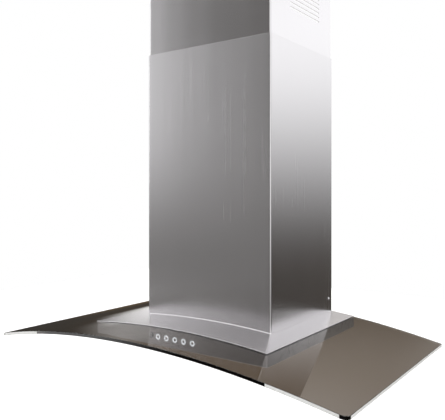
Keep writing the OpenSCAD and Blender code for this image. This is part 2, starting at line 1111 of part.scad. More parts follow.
// ---- Controls ----

// Dished chrome cap, flange and stem, pressed along +Y
module button(i) {
    face = -body_d - button_proud;
    dish_r = 11;
    color(chrome)
        at_crown()
            translate([button_x(i), 0, button_z])
                difference() {
                    union() {
                        rod_y([0, face, 0], button_r, button_proud + flange_s);
                        rod_y([0, -body_d + flange_s - 0.2, 0], button_r + 1.2, 1.4);
                        rod_y([0, -body_d + flange_s, 0], 2.3, 4.6);
                    }
                    translate([0, face - dish_r + 1.6, 0])
                        sphere(r = dish_r, $fn = 96);
                }
}

module button_1() {
    button(0);
}

module button_2() {
    button(1);
}

module button_3() {
    button(2);
}

module button_4() {
    button(3);
}

module button_5() {
    button(4);
}

module button_carrier() {
    w = carrier_wall;
    y0 = -body_d + sheet_t;
    y1 = -body_d + carrier_d;
    color(plastic_black)
        at_crown()
            difference() {
                slab([carrier_x0, y0, carrier_z0], [carrier_x1, y1, carrier_z1]);
                slab([carrier_x0 + w, -body_d + carrier_front, carrier_z0 + w],
                    [carrier_x1 - w, y1 + eps, carrier_z1 - w]);
                for (i = [0 : 4])
                    rod_y([button_x(i), y0 - eps, button_z], button_r + 0.25, 6);
            }
}

module switch_board() {
    y1 = -body_d + carrier_d;
    color(board_green)
        at_crown()
            difference() {
                union() {
                    slab([carrier_x0, y1, carrier_z0], [carrier_x1, y1 + board_t, carrier_z1]);
                    for (i = [0 : 4])
                        translate([button_x(i), 0, button_z])
                            slab([-4, y1 - 3.4, -4], [4, y1 + 0.5, 4]);
                }
                for (i = [0 : 4])
                    rod_y([button_x(i), y1 - 6, button_z], 2.7, 6);
            }
}

module indicator_window() {
    color(plastic_black)
        at_crown() {
            rod_y([window_x, -body_d - 0.4, button_z], window_r, 3);
            rod_y([window_x, -body_d + sheet_t, button_z], window_r + 1.5, 1.4);
        }
}

module control_lead() {
    color(lead_grey)
        at_crown()
            tube(control_route, 2.5);
}

module motor_lead() {
    color(lead_grey)
        at_crown()
            tube(motor_route, 2.2);
}

module lamp_leads() {
    color(lead_grey)
        at_crown()
            both_sides()
                tube(lamp_route, 1.3);
}

lower_duct_cover();
upper_duct_cover();
ceiling_bracket();
upper_cover_screws();
lower_cover_screws();
cover_tabs();
top_plate();
top_gasket();
glass_canopy();
lower_gasket();
glass_bushings();
plate_studs();
clamp_nuts();
body_tray();
bottom_panel();
left_filter_frame();
right_filter_frame();
left_filter_mesh();
right_filter_mesh();
left_filter_pull();
right_filter_pull();
filter_catches();
left_lamp_housing();
right_lamp_housing();
left_lamp_board();
right_lamp_board();
left_lamp_lens();
right_lamp_lens();
wall_bracket();
blower_box();
blower_box_cover();
box_screws();
scroll_left();
scroll_right();
impeller();
motor_shaft();
motor_body();
motor_bearings();
motor_spider();
motor_mounts();
outlet_collar();
front_flap();
rear_flap();
electronics_box();
electronics_lid();
control_board();
run_capacitor();
terminal_block();
cable_gland();
button_1();
button_2();
button_3();
button_4();
button_5();
button_carrier();
switch_board();
indicator_window();
control_lead();
motor_lead();
lamp_leads();
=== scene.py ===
"""Looks for a wall-mounted chimney range hood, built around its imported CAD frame.
Metres, +Z up, -Y into the room, the wall at y = 0."""
import json
import math

import bmesh
import bpy
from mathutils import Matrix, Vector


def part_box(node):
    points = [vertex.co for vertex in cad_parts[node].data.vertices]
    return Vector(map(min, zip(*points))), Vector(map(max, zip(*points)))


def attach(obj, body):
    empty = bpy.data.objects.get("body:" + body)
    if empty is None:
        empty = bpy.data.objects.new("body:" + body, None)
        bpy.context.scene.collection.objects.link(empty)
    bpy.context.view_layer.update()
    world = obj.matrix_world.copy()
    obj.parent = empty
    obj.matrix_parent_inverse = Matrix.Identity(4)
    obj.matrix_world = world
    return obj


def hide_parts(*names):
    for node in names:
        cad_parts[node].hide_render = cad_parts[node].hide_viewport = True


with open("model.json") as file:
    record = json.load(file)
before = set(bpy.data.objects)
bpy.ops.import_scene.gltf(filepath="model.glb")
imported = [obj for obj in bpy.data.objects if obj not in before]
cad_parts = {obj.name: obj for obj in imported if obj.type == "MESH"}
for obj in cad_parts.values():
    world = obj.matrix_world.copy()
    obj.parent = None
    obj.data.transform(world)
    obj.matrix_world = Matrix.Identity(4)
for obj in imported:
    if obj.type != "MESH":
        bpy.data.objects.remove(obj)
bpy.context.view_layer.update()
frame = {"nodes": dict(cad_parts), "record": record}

MM = 0.001

# Driving places, read from the frame
GLASS_LOW, GLASS_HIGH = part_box("glass_canopy")
CROWN = GLASS_HIGH[2]
PLATE_LOW, PLATE_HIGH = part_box("top_plate")
TRAY_LOW, TRAY_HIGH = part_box("body_tray")
LOWER_LOW, LOWER_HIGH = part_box("lower_duct_cover")
UPPER_LOW, UPPER_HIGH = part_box("upper_duct_cover")

# Driving sizes that the boxes don't give
ARCH_R = 2090 * MM          # radius of the arch at the glass's top face
ARCH_STEP = 12 * MM         # length of the flats that make up that arch
GLASS_T = 6.5 * MM
GLASS_BOW = 9.5 * MM        # how far the middle of the front reaches past its ends
GLASS_CORNER_R = 14 * MM
GLASS_NOTCH = (165 * MM, -285 * MM)     # half width and front of the notch at the back
PLATE_NOTCH = (152 * MM, -274.5 * MM)   # the same for the plate
POLISHED_X = 305 * MM       # half width of the polished stretch of the glass's front edge; past it the ground edge carries painted light
SHEET_T = 1 * MM
SHEET_BEND = 4.5 * MM       # outer radius of the covers' and the tray's folded corners
COVER_FLANGE = 10 * MM      # width of the covers' back flanges
BUTTONS = 5
CAP_R = 6.1 * MM            # radius of a button's cap
BEAD_R = 1.25 * MM          # radius of the section of a button's ring, which carries a painted glow


# ---------------------------------------------------------------- camera

def make_camera():
    """The photograph's point of view: level, to the right of the hood and a little above the canopy."""
    sensor = 36
    focal_share = 1.2783    # focal length over the picture's width
    turned_left = 35.84     # degrees away from looking straight at the wall
    camera = bpy.data.cameras.new("camera")
    camera.sensor_width = sensor
    camera.lens = sensor * focal_share
    camera.shift_y = -0.03728
    camera.clip_end = 60
    place = bpy.data.objects.new("camera", camera)
    place.location = (0.8026, -1.3407, CROWN + 0.2929)
    place.rotation_euler = (math.radians(90), 0, math.radians(turned_left))
    bpy.context.scene.collection.objects.link(place)
    bpy.context.scene.camera = place


make_camera()


# ---------------------------------------------------------------- node helpers

class Nodes:
    """A node tree with short ways to add to it."""

    def __init__(self, tree):
        self.tree = tree

    def node(self, kind, **settings):
        made = self.tree.nodes.new(kind)
        for key, value in settings.items():
            setattr(made, key, value)
        return made

    def link(self, source, target):
        self.tree.links.new(source, target)

    def maths(self, operation, a, b):
        """A maths node; a and b are numbers or outputs of other nodes."""
        made = self.node("ShaderNodeMath", operation=operation)
        for socket, value in zip(made.inputs, (a, b)):
            if isinstance(value, (int, float)):
                socket.default_value = value
            else:
                self.link(value, socket)
        return made.outputs[0]


class Shader(Nodes):
    """A material under construction: its main shader and the patterns that feed it."""

    def __init__(self, name, **constants):
        self.material = bpy.data.materials.new(name)
        self.material.use_nodes = True
        super().__init__(self.material.node_tree)
        self.main = next(n for n in self.tree.nodes if n.type == "BSDF_PRINCIPLED")
        for socket, value in constants.items():
            self.main.inputs[socket.replace("_", " ")].default_value = value

    def coordinates(self, scale):
        """Object coordinates, multiplied by the scale of each axis."""
        places = self.node("ShaderNodeTexCoord")
        mapping = self.node("ShaderNodeMapping")
        mapping.inputs["Scale"].default_value = scale
        self.link(places.outputs["Object"], mapping.inputs["Vector"])
        return mapping.outputs["Vector"]

    def noise(self, scale, detail=2.0, rough=0.5):
        made = self.node("ShaderNodeTexNoise")
        made.inputs["Scale"].default_value = 1.0
        made.inputs["Detail"].default_value = detail
        made.inputs["Roughness"].default_value = rough
        self.link(self.coordinates(scale), made.inputs["Vector"])
        return made.outputs["Fac"]

    def spread(self, value, low, high, from_low=0.3, from_high=0.7):
        """Maps a 0 to 1 pattern to the range low to high."""
        made = self.node("ShaderNodeMapRange", clamp=True)
        made.inputs["From Min"].default_value = from_low
        made.inputs["From Max"].default_value = from_high
        made.inputs["To Min"].default_value = low
        made.inputs["To Max"].default_value = high
        self.link(value, made.inputs["Value"])
        return made.outputs["Result"]

    def mix_colour(self, factor, low, high):
        made = self.node("ShaderNodeMix", data_type="RGBA")
        made.inputs["A"].default_value = (*low, 1)
        made.inputs["B"].default_value = (*high, 1)
        self.link(factor, made.inputs["Factor"])
        return made.outputs["Result"]

    def bump(self, height, strength, distance):
        made = self.node("ShaderNodeBump")
        made.inputs["Strength"].default_value = strength
        made.inputs["Distance"].default_value = distance
        self.link(height, made.inputs["Height"])
        self.link(made.outputs["Normal"], self.main.inputs["Normal"])

    def colour_from(self, output):
        self.link(output, self.main.inputs["Base Color"])

    def rough_from(self, output):
        self.link(output, self.main.inputs["Roughness"])


# ---------------------------------------------------------------- materials

def along(axis, lengthwise, crosswise):
    """The scale of a pattern of lines that run along one axis."""
    return tuple(lengthwise if each == axis else crosswise for each in "XYZ")


def brushed_steel(name, grain, blur_axis, rough, light=0.66, stretch=0.6):
    """Brushed stainless. grain is the axis the lines run along. The highlight spreads across the
    grain: around blur_axis, or along the piece's own UV direction when that is None."""
    s = Shader(name, Metallic=1.0, Anisotropic=stretch)
    fine = s.noise(along(grain, 2.2, 900), detail=3, rough=0.6)
    wide = s.noise(along(grain, 0.8, 60))
    smudge = s.noise((5, 5, 5), detail=4, rough=0.55)
    lines = s.maths("ADD", s.maths("MULTIPLY", fine, 0.6), s.maths("MULTIPLY", wide, 0.4))
    bright = (light, light * 0.98, light)
    dark = [part * 0.965 for part in bright]
    s.colour_from(s.mix_colour(s.spread(lines, 0, 1), dark, bright))
    brushing = s.spread(lines, rough - 0.015, rough + 0.015)
    s.rough_from(s.maths("ADD", brushing, s.spread(smudge, -0.008, 0.008)))
    s.bump(lines, 0.06, 0.00002)
    if blur_axis:
        tangent = s.node("ShaderNodeTangent", direction_type="RADIAL", axis=blur_axis)
    else:
        tangent = s.node("ShaderNodeTangent", direction_type="UV_MAP")
    s.link(tangent.outputs["Tangent"], s.main.inputs["Tangent"])
    return s.material


def zinc_sheet():
    """Galvanised steel with its flaky spangle."""
    s = Shader("zinc_sheet", Metallic=1.0)
    cells = s.node("ShaderNodeTexVoronoi", feature="F1")
    cells.inputs["Scale"].default_value = 170
    s.link(s.coordinates((1, 1, 1)), cells.inputs["Vector"])
    flake = s.node("ShaderNodeSeparateColor")
    s.link(cells.outputs["Color"], flake.inputs["Color"])
    s.colour_from(s.mix_colour(flake.outputs["Red"], (0.56, 0.58, 0.60), (0.66, 0.68, 0.70)))
    s.rough_from(s.spread(flake.outputs["Green"], 0.34, 0.52, 0, 1))
    s.bump(s.noise((260, 260, 260), detail=3), 0.15, 0.0001)
    return s.material


def chrome():
    s = Shader("chrome", Metallic=1.0)
    s.main.inputs["Base Color"].default_value = (0.88, 0.88, 0.89, 1)
    haze = s.noise((900, 900, 900), detail=3)
    s.rough_from(s.spread(haze, 0.05, 0.12))
    s.bump(haze, 0.05, 0.00002)
    return s.material


def smoked_glass():
    """Clear smoked float glass; faint wipe marks only change its gloss."""
    s = Shader("smoked_glass", Transmission_Weight=1.0, IOR=1.5)
    s.main.inputs["Base Color"].default_value = (0.62, 0.58, 0.54, 1)
    marks = s.noise((7, 3, 7), detail=5, rough=0.6)
    s.rough_from(s.spread(marks, 0.0, 0.02, 0.45, 0.8))
    return s.material


def ground_edge_painted_light():
    """The fine-ground edge of the glass, pale and frosted; its light colour is also painted light,
    standing in for the light the edge gathers from inside the pane.
    """
    s = Shader("ground_edge_painted_light", Transmission_Weight=0.25, IOR=1.5)
    grind = s.noise((90, 90, 1500), detail=3, rough=0.6)
    # Pale colour: partly the frosted glass's own, partly painted light
    s.colour_from(s.mix_colour(s.spread(grind, 0, 1), (0.74, 0.74, 0.72), (0.87, 0.87, 0.86)))
    s.rough_from(s.spread(grind, 0.3, 0.5))
    s.bump(grind, 0.15, 0.00005)
    return s.material


def frosted_glass():
    s = Shader("frosted_glass", Transmission_Weight=0.75, IOR=1.49)
    s.main.inputs["Base Color"].default_value = (0.94, 0.94, 0.92, 1)
    grain = s.noise((2200, 2200, 2200), detail=2)
    s.rough_from(s.spread(grain, 0.35, 0.6))
    s.bump(grain, 0.2, 0.00005)
    return s.material


def plastic(name, colour, rough, grain=1600):
    """Moulded plastic with a fine eroded grain and slight shade variation."""
    s = Shader(name)
    mottle = s.noise((35, 35, 35), detail=4)
    darker = [part * 0.88 for part in colour]
    s.colour_from(s.mix_colour(s.spread(mottle, 0, 1), darker, colour))
    texture = s.noise((grain, grain, grain), detail=2)
    s.rough_from(s.spread(texture, rough - 0.08, rough + 0.08))
    s.bump(texture, 0.25, 0.00006)
    return s.material


def foam_rubber():
    s = Shader("foam_rubber")
    pores = s.noise((1400, 1400, 1400), detail=3, rough=0.7)
    s.colour_from(s.mix_colour(s.spread(pores, 0, 1), (0.012, 0.012, 0.012), (0.035, 0.035, 0.035)))
    s.rough_from(s.spread(pores, 0.75, 0.95))
    s.bump(pores, 0.6, 0.0002)
    return s.material


def rolled_aluminium():
    s = Shader("rolled_aluminium", Metallic=1.0)
    roll = s.noise((30, 500, 30), detail=3)
    s.colour_from(s.mix_colour(s.spread(roll, 0, 1), (0.66, 0.67, 0.68), (0.80, 0.81, 0.82)))
    s.rough_from(s.spread(roll, 0.26, 0.42))
    s.bump(roll, 0.15, 0.00006)
    return s.material


def circuit_board():
    """Solder mask over fine copper tracks."""
    s = Shader("circuit_board")
    tracks = s.node("ShaderNodeTexBrick", offset=0.37, squash=1.0)
    tracks.inputs["Scale"].default_value = 130
    tracks.inputs["Mortar Size"].default_value = 0.06
    tracks.inputs["Color1"].default_value = (0.012, 0.11, 0.045, 1)
    tracks.inputs["Color2"].default_value = (0.016, 0.14, 0.06, 1)
    tracks.inputs["Mortar"].default_value = (0.03, 0.24, 0.10, 1)
    s.link(s.coordinates((1, 1, 1)), tracks.inputs["Vector"])
    s.colour_from(tracks.outputs["Color"])
    s.rough_from(s.spread(s.noise((120, 120, 120)), 0.22, 0.36))
    s.bump(tracks.outputs["Fac"], 0.3, 0.00008)
    return s.material


def enamel():
    s = Shader("enamel", Coat_Weight=0.4)
    peel = s.noise((420, 420, 420), detail=2)
    s.colour_from(s.mix_colour(s.spread(peel, 0, 1), (0.20, 0.21, 0.22), (0.26, 0.27, 0.28)))
    s.rough_from(s.spread(peel, 0.30, 0.42))
    s.bump(peel, 0.2, 0.0001)
    return s.material


def glow_painted_ring():
    """Opal ring of a button with a painted glow: a cool white emission that stands in for the bright
    reflections on the ring.
    """
    s = Shader("glow_painted_ring", Roughness=0.3)
    opal_and_glow = s.noise((700, 700, 700), detail=3)
    s.colour_from(s.mix_colour(s.spread(opal_and_glow, 0, 1), (0.78, 0.80, 0.82), (0.88, 0.90, 0.92)))
    # Painted glow: emission standing in for the bright reflections on the ring
    s.main.inputs["Emission Color"].default_value = (0.85, 1.0, 1.18, 1)
    s.link(s.spread(opal_and_glow, 0.95, 1.2), s.main.inputs["Emission Strength"])
    s.bump(opal_and_glow, 0.1, 0.00003)
    return s.material


def gloss_black():
    s = Shader("gloss_black", Coat_Weight=1.0)
    haze = s.noise((300, 300, 300), detail=3)
    s.colour_from(s.mix_colour(s.spread(haze, 0, 1), (0.006, 0.006, 0.007), (0.012, 0.012, 0.014)))
    s.rough_from(s.spread(haze, 0.08, 0.16))
    return s.material


GLOW_PAINTED_RING = glow_painted_ring()
STEEL_LOWER = brushed_steel("steel_lower_cover", "Z", "Z", rough=0.26)
STEEL_UPPER = brushed_steel("steel_upper_cover", "Z", "Z", rough=0.20, stretch=0.4)
# The plate's steel is painted lighter (light 0.95) than the same steel on the covers and the tray: painted
# brightening, not the plate's own colour
STEEL_PLATE_PAINTED_LIGHTER = brushed_steel("steel_plate_painted_lighter", "X", None, rough=0.26, light=0.95, stretch=0.25)
STEEL_TRAY = brushed_steel("steel_tray", "X", "X", rough=0.28, light=0.62)
CHROME = chrome()
SMOKED = smoked_glass()
GROUND_EDGE_PAINTED_LIGHT = ground_edge_painted_light()

# What each material slot of the record looks like
FINISHES = {
    "brushed_steel": STEEL_TRAY,
    "galvanised": zinc_sheet(),
    "chrome": CHROME,
    "smoked_glass": SMOKED,
    "frosted_glass": frosted_glass(),
    "gasket": foam_rubber(),
    "nylon": plastic("white_plastic", (0.80, 0.80, 0.77), 0.42),
    "filter_aluminium": rolled_aluminium(),
    "grey_plastic": plastic("grey_plastic", (0.24, 0.25, 0.26), 0.5),
    "black_plastic": plastic("black_plastic", (0.022, 0.022, 0.023), 0.45),
    "black_gloss": gloss_black(),
    "motor_enamel": enamel(),
    "circuit_board": circuit_board(),
    "capacitor_case": plastic("case_plastic", (0.72, 0.71, 0.66), 0.38),
    "cable_sheath": plastic("sheath", (0.09, 0.09, 0.095), 0.55, grain=700),
}


def finish_cad_nodes():
    """Each CAD node takes the material of its record slot."""
    slots = {p["node"]: p["material_slot"] for p in frame["record"]["subparts"]}
    for name, node in frame["nodes"].items():
        for place in node.material_slots:
            place.material = FINISHES[slots[name]]


finish_cad_nodes()


# ---------------------------------------------------------------- mesh helpers

def shade_smooth(mesh):
    mesh.polygons.foreach_set("use_smooth", [True] * len(mesh.polygons))


def new_piece(name, mesh, material, body):
    """A piece that rides on a body, with one material."""
    piece = bpy.data.objects.new(name, mesh)
    bpy.context.scene.collection.objects.link(piece)
    mesh.materials.append(material)
    shade_smooth(mesh)
    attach(piece, body)
    return piece


def mesh_from(name, points, faces):
    mesh = bpy.data.meshes.new(name)
    mesh.from_pydata(points, [], faces)
    mesh.update()
    work = bmesh.new()
    work.from_mesh(mesh)
    bmesh.ops.remove_doubles(work, verts=work.verts, dist=1e-6)
    bmesh.ops.recalc_face_normals(work, faces=work.faces)
    work.to_mesh(mesh)
    work.free()
    return mesh


def grain_across_y(mesh):
    """A UV map whose first direction is +Y, for steel brushed along X."""
    places = mesh.uv_layers.new(name="grain")
    for loop in mesh.loops:
        x, y, _ = mesh.vertices[loop.vertex_index].co
        places.data[loop.index].uv = (y, x)


def round_edges(piece, width, segments=2, angle=35):
    """Small rounded edges with true normals on the flats."""
    bevel = piece.modifiers.new("edges", "BEVEL")
    bevel.width = width
    bevel.segments = segments
    bevel.limit_method = "ANGLE"
    bevel.angle_limit = math.radians(angle)
    bevel.use_clamp_overlap = True
    bevel.miter_outer = "MITER_ARC"
    normals = piece.modifiers.new("normals", "WEIGHTED_NORMAL")
    normals.keep_sharp = True
    normals.weight = 80


def arch(x, rise):
    """Height of the surface that lies rise above the glass's top face."""
    return CROWN + math.sqrt((ARCH_R + rise) ** 2 - x * x) - ARCH_R


def arc(cx, cy, r, start, sweep, steps):
    """The steps + 1 points of an arc about (cx, cy), from the angle start over the angle sweep."""
    angles = [start + sweep * i / steps for i in range(steps + 1)]
    return [(cx + r * math.cos(a), cy + r * math.sin(a)) for a in angles]


def front_corners(half, front_y, r, steps):
    """The two rounded front corners of a plan, left one first; half is half its width."""
    left = arc(-half + r, front_y + r, r, math.pi, math.pi / 2, steps)
    right = arc(half - r, front_y + r, r, 1.5 * math.pi, math.pi / 2, steps)
    return left + right


def notched_back(half, notch):
    """The straight back of a plan from right to left, with the notch that the blower box stands in."""
    x, y = notch
    return [(half, 0), (x, 0), (x, y), (-x, y), (-x, 0), (-half, 0)]


def block(low, high):
    """A box mesh for cutting."""
    (x0, y0, z0), (x1, y1, z1) = low, high
    points = [(x, y, z) for x in (x0, x1) for y in (y0, y1) for z in (z0, z1)]
    faces = [(0, 1, 3, 2), (4, 6, 7, 5), (0, 4, 5, 1), (2, 3, 7, 6), (0, 2, 6, 4), (1, 5, 7, 3)]
    return mesh_from("block", points, faces)


def lathe(name, profile, place, sides=48):
    """Turns (radius, depth) points about an axis along -Y through place; depth grows towards -Y."""
    points, faces = [], []
    cx, cy, cz = place
    for radius, depth in profile:
        for x, z in arc(cx, cz, radius, 0, 2 * math.pi, sides)[:-1]:
            points.append((x, cy - depth, z))
    for ring in range(len(profile) - 1):
        for k in range(sides):
            a, b = ring * sides + k, ring * sides + (k + 1) % sides
            faces.append((a, b, b + sides, a + sides))
    return mesh_from(name, points, faces)


def cut_with(piece, mesh):
    """Cuts the solid that a mesh encloses out of a piece."""
    cutter = bpy.data.objects.new("cutter", mesh)
    bpy.context.scene.collection.objects.link(cutter)
    modifier = piece.modifiers.new("cut", "BOOLEAN")
    modifier.operation = "DIFFERENCE"
    modifier.solver = "EXACT"
    modifier.object = cutter
    bpy.context.view_layer.update()
    settled = bpy.context.evaluated_depsgraph_get()
    cut = bpy.data.meshes.new_from_object(piece.evaluated_get(settled))
    piece.modifiers.clear()
    piece.data = cut
    bpy.data.objects.remove(cutter)


# ---------------------------------------------------------------- arched sheets

def arched_sheet(name, outline, low, high, step, floor_z=None):
    """A sheet with a plan outline, bent to the arch from rise low to rise high. With floor_z its
    underside is flat at that height, which makes a block."""
    work = bmesh.new()
    work.faces.new([work.verts.new((x, y, 0)) for x, y in outline])
    half = max(x for x, _ in outline)
    cut = -half + step
    while cut < half - step / 2:
        everything = work.verts[:] + work.edges[:] + work.faces[:]
        bmesh.ops.bisect_plane(
            work, geom=everything, plane_co=(cut, 0, 0), plane_no=(1, 0, 0), dist=1e-6)
        cut += step
    top = bmesh.ops.extrude_face_region(work, geom=work.faces[:])["geom"]
    raised = {v for v in top if isinstance(v, bmesh.types.BMVert)}
    for v in work.verts:
        if v in raised:
            v.co.z = arch(v.co.x, high)
        else:
            v.co.z = arch(v.co.x, low) if floor_z is None else floor_z
    bmesh.ops.recalc_face_normals(work, faces=work.faces)
    mesh = bpy.data.meshes.new(name)
    work.to_mesh(mesh)
    work.free()
    return mesh


def glass_outline():
    """Plan of the canopy: bowed front, rounded front corners, notched back."""
    half, depth, r = GLASS_HIGH[0], -GLASS_LOW[1], GLASS_CORNER_R
    bow_r = (half ** 2 + GLASS_BOW ** 2) / (2 * GLASS_BOW)
    bow_y = bow_r - depth
    cx = half - r
    cy = bow_y - math.sqrt((bow_r - r) ** 2 - cx * cx)
    turn = math.atan2(cx, bow_y - cy)
    right = arc(cx, cy, r, turn - math.pi / 2, math.pi / 2 - turn, 14)
    left = [(-x, y) for x, y in reversed(right)]
    bowed = arc(0, bow_y, bow_r, -turn - math.pi / 2, 2 * turn, 60)[1:-1]
    return left + bowed + right + notched_back(half, GLASS_NOTCH)


def make_glass():
    """The canopy. Its edges are ground, with painted light in their pale colour, apart from the rounded
    corners and a polished stretch in front of the body, which stay dark."""
    mesh = arched_sheet("glass", glass_outline(), -GLASS_T, 0, ARCH_STEP)
    piece = new_piece("glass", mesh, SMOKED, "hood")
    mesh.materials.append(GROUND_EDGE_PAINTED_LIGHT)
    for face in mesh.polygons:
        x = abs(face.center.x)
        upright = abs(face.normal.z) < 0.1
        in_corner = x > GLASS_HIGH[0] - GLASS_CORNER_R and abs(face.normal.x) < 0.999
        # Faces outside the polished stretch and the corners take the ground edge's painted light
        if upright and x > POLISHED_X and not in_corner:
            face.material_index = 1
    round_edges(piece, 1.1 * MM, 4)
    piece.modifiers["edges"].material = 0
    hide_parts("glass_canopy")


def make_plate():
    """The thin arched plate on the glass, brushed along its width; its steel is painted lighter than the
    covers'.
    """
    half, rise = PLATE_HIGH[0], PLATE_HIGH[2] - CROWN
    outline = front_corners(half, PLATE_LOW[1], 1.5 * MM, 4) + notched_back(half, PLATE_NOTCH)
    mesh = arched_sheet("steel_top", outline, rise - SHEET_T, rise, ARCH_STEP)
    grain_across_y(mesh)
    piece = new_piece("steel_top", mesh, STEEL_PLATE_PAINTED_LIGHTER, "hood")
    round_edges(piece, 0.3 * MM)
    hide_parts("top_plate")


# ---------------------------------------------------------------- duct covers

def cover_pairs(half, front_y, back_y, step):
    """Points along a folded sheet, outer and inner face together, from one back flange to the other."""
    t, r, bend_steps = SHEET_T, SHEET_BEND, 8
    left = [((-half + COVER_FLANGE, back_y), (-half + COVER_FLANGE, back_y - t))]
    left.append(((-half, back_y), (-half + t, back_y - t)))
    right = [((-x, y), (-inner_x, inner_y)) for (x, y), (inner_x, inner_y) in reversed(left)]
    outer = front_corners(half, front_y, r, bend_steps)
    inner = front_corners(half - t, front_y + t, r - t, bend_steps)
    bends = list(zip(outer, inner))
    count = int(2 * (half - r) / step)
    across = [-half + r + 2 * (half - r) * i / count for i in range(1, count)]
    front = [((x, front_y), (x, front_y + t)) for x in across]
    return left + bends[:bend_steps + 1] + front + bends[bend_steps + 1:] + right


def lower_cover_pairs():
    return cover_pairs(LOWER_HIGH[0], LOWER_LOW[1], 0, 10 * MM)


def cover_mesh(name, pairs, bottom, top):
    """Prism between bottom(x) and top over the paired outline."""
    points, faces = [], []
    for outer, inner in pairs:
        for x, y in (outer, inner):
            points.append((x, y, bottom(x)))
            points.append((x, y, top))
    for i in range(len(pairs) - 1):
        a, b = 4 * i, 4 * (i + 1)
        faces.append((a, b, b + 1, a + 1))
        faces.append((a + 2, a + 3, b + 3, b + 2))
        faces.append((a + 1, b + 1, b + 3, a + 3))
        faces.append((a, a + 2, b + 2, b))
    last = 4 * (len(pairs) - 1)
    faces.append((0, 1, 3, 2))
    faces.append((last, last + 2, last + 3, last + 1))
    return mesh_from(name, points, faces)


def make_lower_cover():
    """The lower duct cover, whose lower edge follows the plate's arch just above it."""
    gap = 0.3 * MM
    foot = PLATE_HIGH[2] - CROWN + gap
    mesh = cover_mesh("lower_cover", lower_cover_pairs(), lambda x: arch(x, foot), LOWER_HIGH[2])
    piece = new_piece("lower_cover", mesh, STEEL_LOWER, "hood")
    round_edges(piece, 0.25 * MM, 2, 50)
    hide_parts("lower_duct_cover")


def make_foot_bead():
    """A fine steel bead where the lower cover meets the plate, along its front and sides."""
    height, width, gap = 0.7 * MM, 0.6 * MM, 0.05 * MM
    foot = PLATE_HIGH[2] - CROWN + gap
    points, faces = [], []
    for (x, y), (inner_x, inner_y) in lower_cover_pairs()[1:-1]:
        out_x = x + (x - inner_x) * width / SHEET_T
        out_y = min(y + (y - inner_y) * width / SHEET_T, 0)
        z = arch(x, foot)
        points += [(x, y, z), (out_x, out_y, arch(out_x, foot)), (x, y, z + height)]
    last = len(points) - 3
    for i in range(0, last, 3):
        for a, b in ((0, 1), (1, 2), (2, 0)):
            faces.append((i + a, i + b, i + b + 3, i + a + 3))
    faces += [(0, 2, 1), (last, last + 1, last + 2)]
    piece = new_piece("cover_foot_bead", mesh_from("cover_foot_bead", points, faces), STEEL_LOWER, "hood")
    round_edges(piece, 0.1 * MM, 1, 50)


def cut_louvres(piece, half):
    """Rows of round-ended slots through both side walls, above the lower cover's top."""
    rows, pitch, tall = 13, 10.5 * MM, 4.6 * MM
    lowest = LOWER_HIGH[2] + 75 * MM
    front_y, back_y = -212 * MM, -67 * MM
    reach = half + 10 * MM
    r = tall / 2
    points, faces = [], []
    for row in range(rows):
        z = lowest + row * pitch + r
        outline = arc(back_y - r, z, r, -math.pi / 2, math.pi, 8)
        outline += arc(front_y + r, z, r, math.pi / 2, math.pi, 8)
        n, base = len(outline), len(points)
        for x in (-reach, reach):
            points += [(x, *place) for place in outline]
        faces.append([base + k for k in range(n)])
        faces.append([base + n + k for k in reversed(range(n))])
        faces += [(base + k, base + (k + 1) % n, base + n + (k + 1) % n, base + n + k) for k in range(n)]
    cut_with(piece, mesh_from("cutter", points, faces))


def notch_flanges(piece, half):
    """Cuts the back flanges away at the top, where the ceiling bracket stands."""
    inner, outer = half - 11 * MM, half - 0.8 * MM
    tall, deep, beyond = 19 * MM, 1.1 * MM, 1 * MM
    back, top = UPPER_HIGH[1], UPPER_HIGH[2]
    for side in (-1, 1):
        x0, x1 = sorted((side * inner, side * outer))
        low = (x0, back - deep, top - tall)
        cut_with(piece, block(low, (x1, back + beyond, top + beyond)))


def make_upper_cover():
    """The upper duct cover, which slides in the lower one."""
    half = UPPER_HIGH[0]
    pairs = cover_pairs(half, UPPER_LOW[1], UPPER_HIGH[1], 60 * MM)
    mesh = cover_mesh("upper_cover_sheet", pairs, lambda x: UPPER_LOW[2], UPPER_HIGH[2])
    piece = new_piece("upper_cover_sheet", mesh, STEEL_UPPER, "upper_cover")
    cut_louvres(piece, half)
    notch_flanges(piece, half)
    round_edges(piece, 0.2 * MM, 1, 50)
    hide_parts("upper_duct_cover")


# ---------------------------------------------------------------- body tray and controls

def middle(low, high):
    """The middle of a CAD box, along X and Z."""
    return (low[0] + high[0]) / 2, (low[2] + high[2]) / 2


def tray_plan(inset):
    """Plan of the tray, or of its hollow when inset by the sheet."""
    half, front_y = TRAY_HIGH[0] - inset, TRAY_LOW[1] + inset
    return front_corners(half, front_y, SHEET_BEND - inset, 6) + [(half, -inset), (-half, -inset)]


def bend_lower_edge(mesh, low, radius):
    """Rounds the edge between the flat underside and the front and end walls."""
    work = bmesh.new()
    work.from_mesh(mesh)
    rim = []
    for edge in work.edges:
        heights = [v.co.z for v in edge.verts]
        upright = [f for f in edge.link_faces if abs(f.normal.z) < 0.5 and f.normal.y < 0.5]
        flat = [f for f in edge.link_faces if f.normal.z < -0.5]
        if max(heights) < low + 1e-6 and upright and flat:
            rim.append(edge)
    bmesh.ops.bevel(work, geom=rim, offset=radius, segments=4, profile=0.5, affect="EDGES")
    work.to_mesh(mesh)
    work.free()


def open_tray(piece):
    """Opens the underside inside its lips, and the top where the air goes through."""
    half, front_y, low = TRAY_HIGH[0], TRAY_LOW[1], TRAY_LOW[2]
    lip, back_lip, beyond = 10 * MM, 7 * MM, 10 * MM
    air_x, air_front, air_back = 146 * MM, -268 * MM, -8 * MM
    under = (-half + lip, front_y + lip, low - SHEET_T)
    cut_with(piece, block(under, (half - lip, -back_lip, low + 2 * SHEET_T)))
    cut_with(piece, block((-air_x, air_front, low + beyond), (air_x, air_back, CROWN + beyond)))


